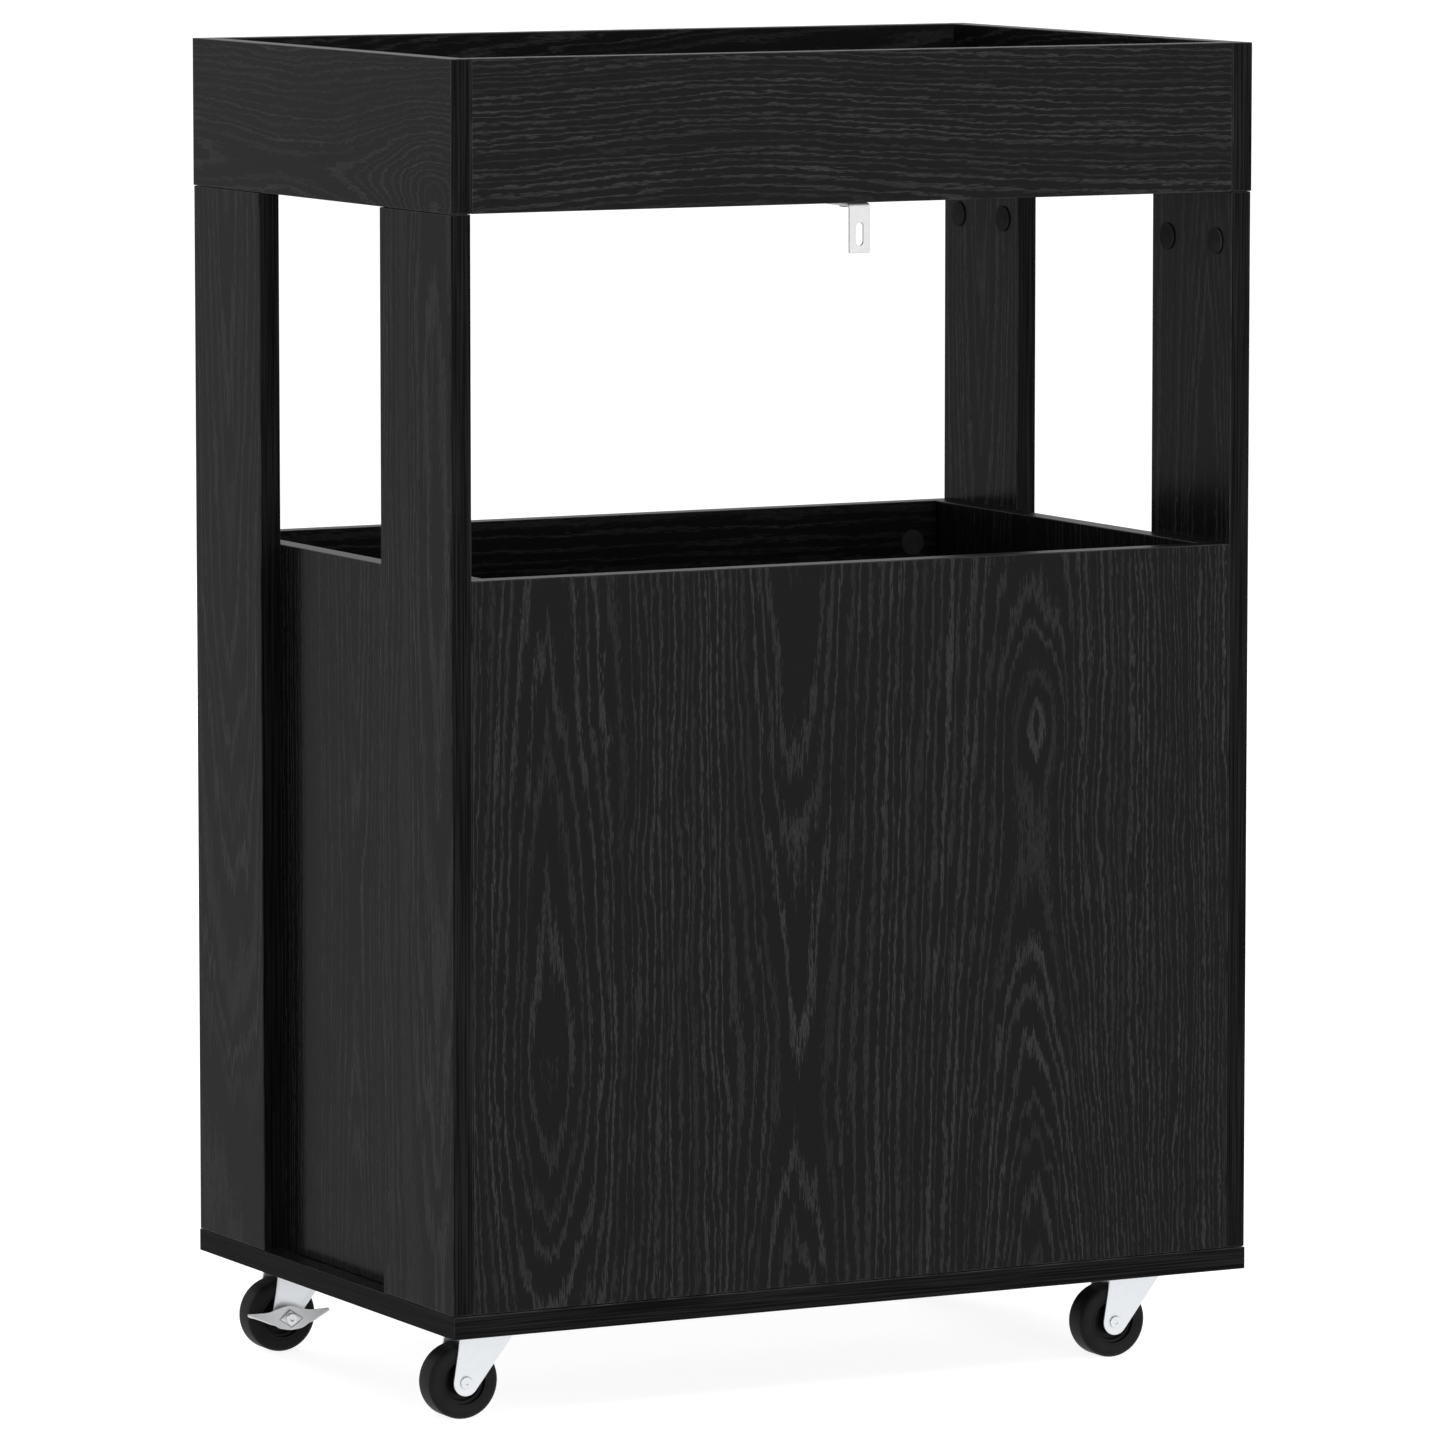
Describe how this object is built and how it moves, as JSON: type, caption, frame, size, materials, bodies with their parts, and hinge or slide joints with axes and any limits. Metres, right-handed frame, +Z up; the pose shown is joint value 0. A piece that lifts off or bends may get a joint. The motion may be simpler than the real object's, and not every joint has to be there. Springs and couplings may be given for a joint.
{
  "type": "bar cart",
  "caption": "Upright bar cart in black wood grain: a rimmed tray on posts over an open-topped bin and an open-fronted compartment, on swivel casters.",
  "frame": {"origin": "on the floor, under the middle of the cart", "axes": "+Z up, -Y towards the open front, +Y towards the closed back with the wall bracket, +X to the right of a person at the front"},
  "size_m": [0.6, 0.4, 0.898],
  "materials": {
    "black_oak": "satin",
    "black_plastic": "satin",
    "black_rubber": "matte",
    "white_zinc": "satin",
    "steel": "satin"
  },
  "bodies": {
    "carcass": {"base_board": "black_oak", "bin_floor": "black_oak", "back_panel": "black_oak", "front_rail": "black_oak", "side_panel_left": "black_oak", "side_panel_right": "black_oak", "tray_floor": "black_oak", "tray_rail_back": "black_oak", "tray_rail_front": "black_oak", "tray_side_left": "black_oak", "tray_side_right": "black_oak", "post_front_left": "black_oak", "cam_cap_front_left_1": "black_plastic", "cam_cap_front_left_2": "black_plastic", "caster_plate_front_left": "white_zinc", "caster_kingpin_front_left": "steel", "post_front_right": "black_oak", "cam_cap_front_right_1": "black_plastic", "cam_cap_front_right_2": "black_plastic", "caster_plate_front_right": "white_zinc", "caster_kingpin_front_right": "steel", "post_back_left": "black_oak", "cam_cap_back_left_1": "black_plastic", "cam_cap_back_left_2": "black_plastic", "caster_plate_back_left": "white_zinc", "caster_kingpin_back_left": "steel", "post_back_right": "black_oak", "cam_cap_back_right_1": "black_plastic", "cam_cap_back_right_2": "black_plastic", "caster_plate_back_right": "white_zinc", "caster_kingpin_back_right": "steel", "cam_cap_front_rail_left": "black_plastic", "cam_cap_front_rail_right": "black_plastic", "wall_bracket": "white_zinc", "bracket_screw": "white_zinc"},
    "caster_front_left": {"caster_fork_front_left": "white_zinc", "caster_race_front_left": "steel", "caster_axle_front_left": "steel"},
    "wheel_front_left": {"caster_hub_front_left": "black_plastic", "caster_tyre_front_left": "black_rubber"},
    "brake_front_left": {"brake_pedal_front_left": "white_zinc"},
    "caster_front_right": {"caster_fork_front_right": "white_zinc", "caster_race_front_right": "steel", "caster_axle_front_right": "steel"},
    "wheel_front_right": {"caster_hub_front_right": "black_plastic", "caster_tyre_front_right": "black_rubber"},
    "brake_front_right": {"brake_pedal_front_right": "white_zinc"},
    "caster_back_left": {"caster_fork_back_left": "white_zinc", "caster_race_back_left": "steel", "caster_axle_back_left": "steel"},
    "wheel_back_left": {"caster_hub_back_left": "black_plastic", "caster_tyre_back_left": "black_rubber"},
    "caster_back_right": {"caster_fork_back_right": "white_zinc", "caster_race_back_right": "steel", "caster_axle_back_right": "steel"},
    "wheel_back_right": {"caster_hub_back_right": "black_plastic", "caster_tyre_back_right": "black_rubber"}
  },
  "joints": [
    {"name": "swivel_front_left", "type": "hinge", "parent": "carcass", "child": "caster_front_left", "pos_m": [-0.2468, -0.1416, 0.0568], "axis": [0, 0, 1], "continuous": true},
    {"name": "wheel_spin_front_left", "type": "hinge", "parent": "caster_front_left", "child": "wheel_front_left", "pos_m": [-0.2248, -0.1416, 0.025], "axis": [0, 1, 0], "continuous": true},
    {"name": "brake_front_left", "type": "hinge", "parent": "caster_front_left", "child": "brake_front_left", "pos_m": [-0.2248, -0.1416, 0.025], "axis": [0, 1, 0], "range_deg": [0, 22]},
    {"name": "swivel_front_right", "type": "hinge", "parent": "carcass", "child": "caster_front_right", "pos_m": [0.2468, -0.1416, 0.0568], "axis": [0, 0, 1], "continuous": true},
    {"name": "wheel_spin_front_right", "type": "hinge", "parent": "caster_front_right", "child": "wheel_front_right", "pos_m": [0.2688, -0.1416, 0.025], "axis": [0, 1, 0], "continuous": true},
    {"name": "brake_front_right", "type": "hinge", "parent": "caster_front_right", "child": "brake_front_right", "pos_m": [0.2688, -0.1416, 0.025], "axis": [0, 1, 0], "range_deg": [0, 22]},
    {"name": "swivel_back_left", "type": "hinge", "parent": "carcass", "child": "caster_back_left", "pos_m": [-0.2468, 0.1416, 0.0568], "axis": [0, 0, 1], "continuous": true},
    {"name": "wheel_spin_back_left", "type": "hinge", "parent": "caster_back_left", "child": "wheel_back_left", "pos_m": [-0.2248, 0.1416, 0.025], "axis": [0, 1, 0], "continuous": true},
    {"name": "swivel_back_right", "type": "hinge", "parent": "carcass", "child": "caster_back_right", "pos_m": [0.2468, 0.1416, 0.0568], "axis": [0, 0, 1], "continuous": true},
    {"name": "wheel_spin_back_right", "type": "hinge", "parent": "caster_back_right", "child": "wheel_back_right", "pos_m": [0.2688, 0.1416, 0.025], "axis": [0, 1, 0], "continuous": true}
  ]
}
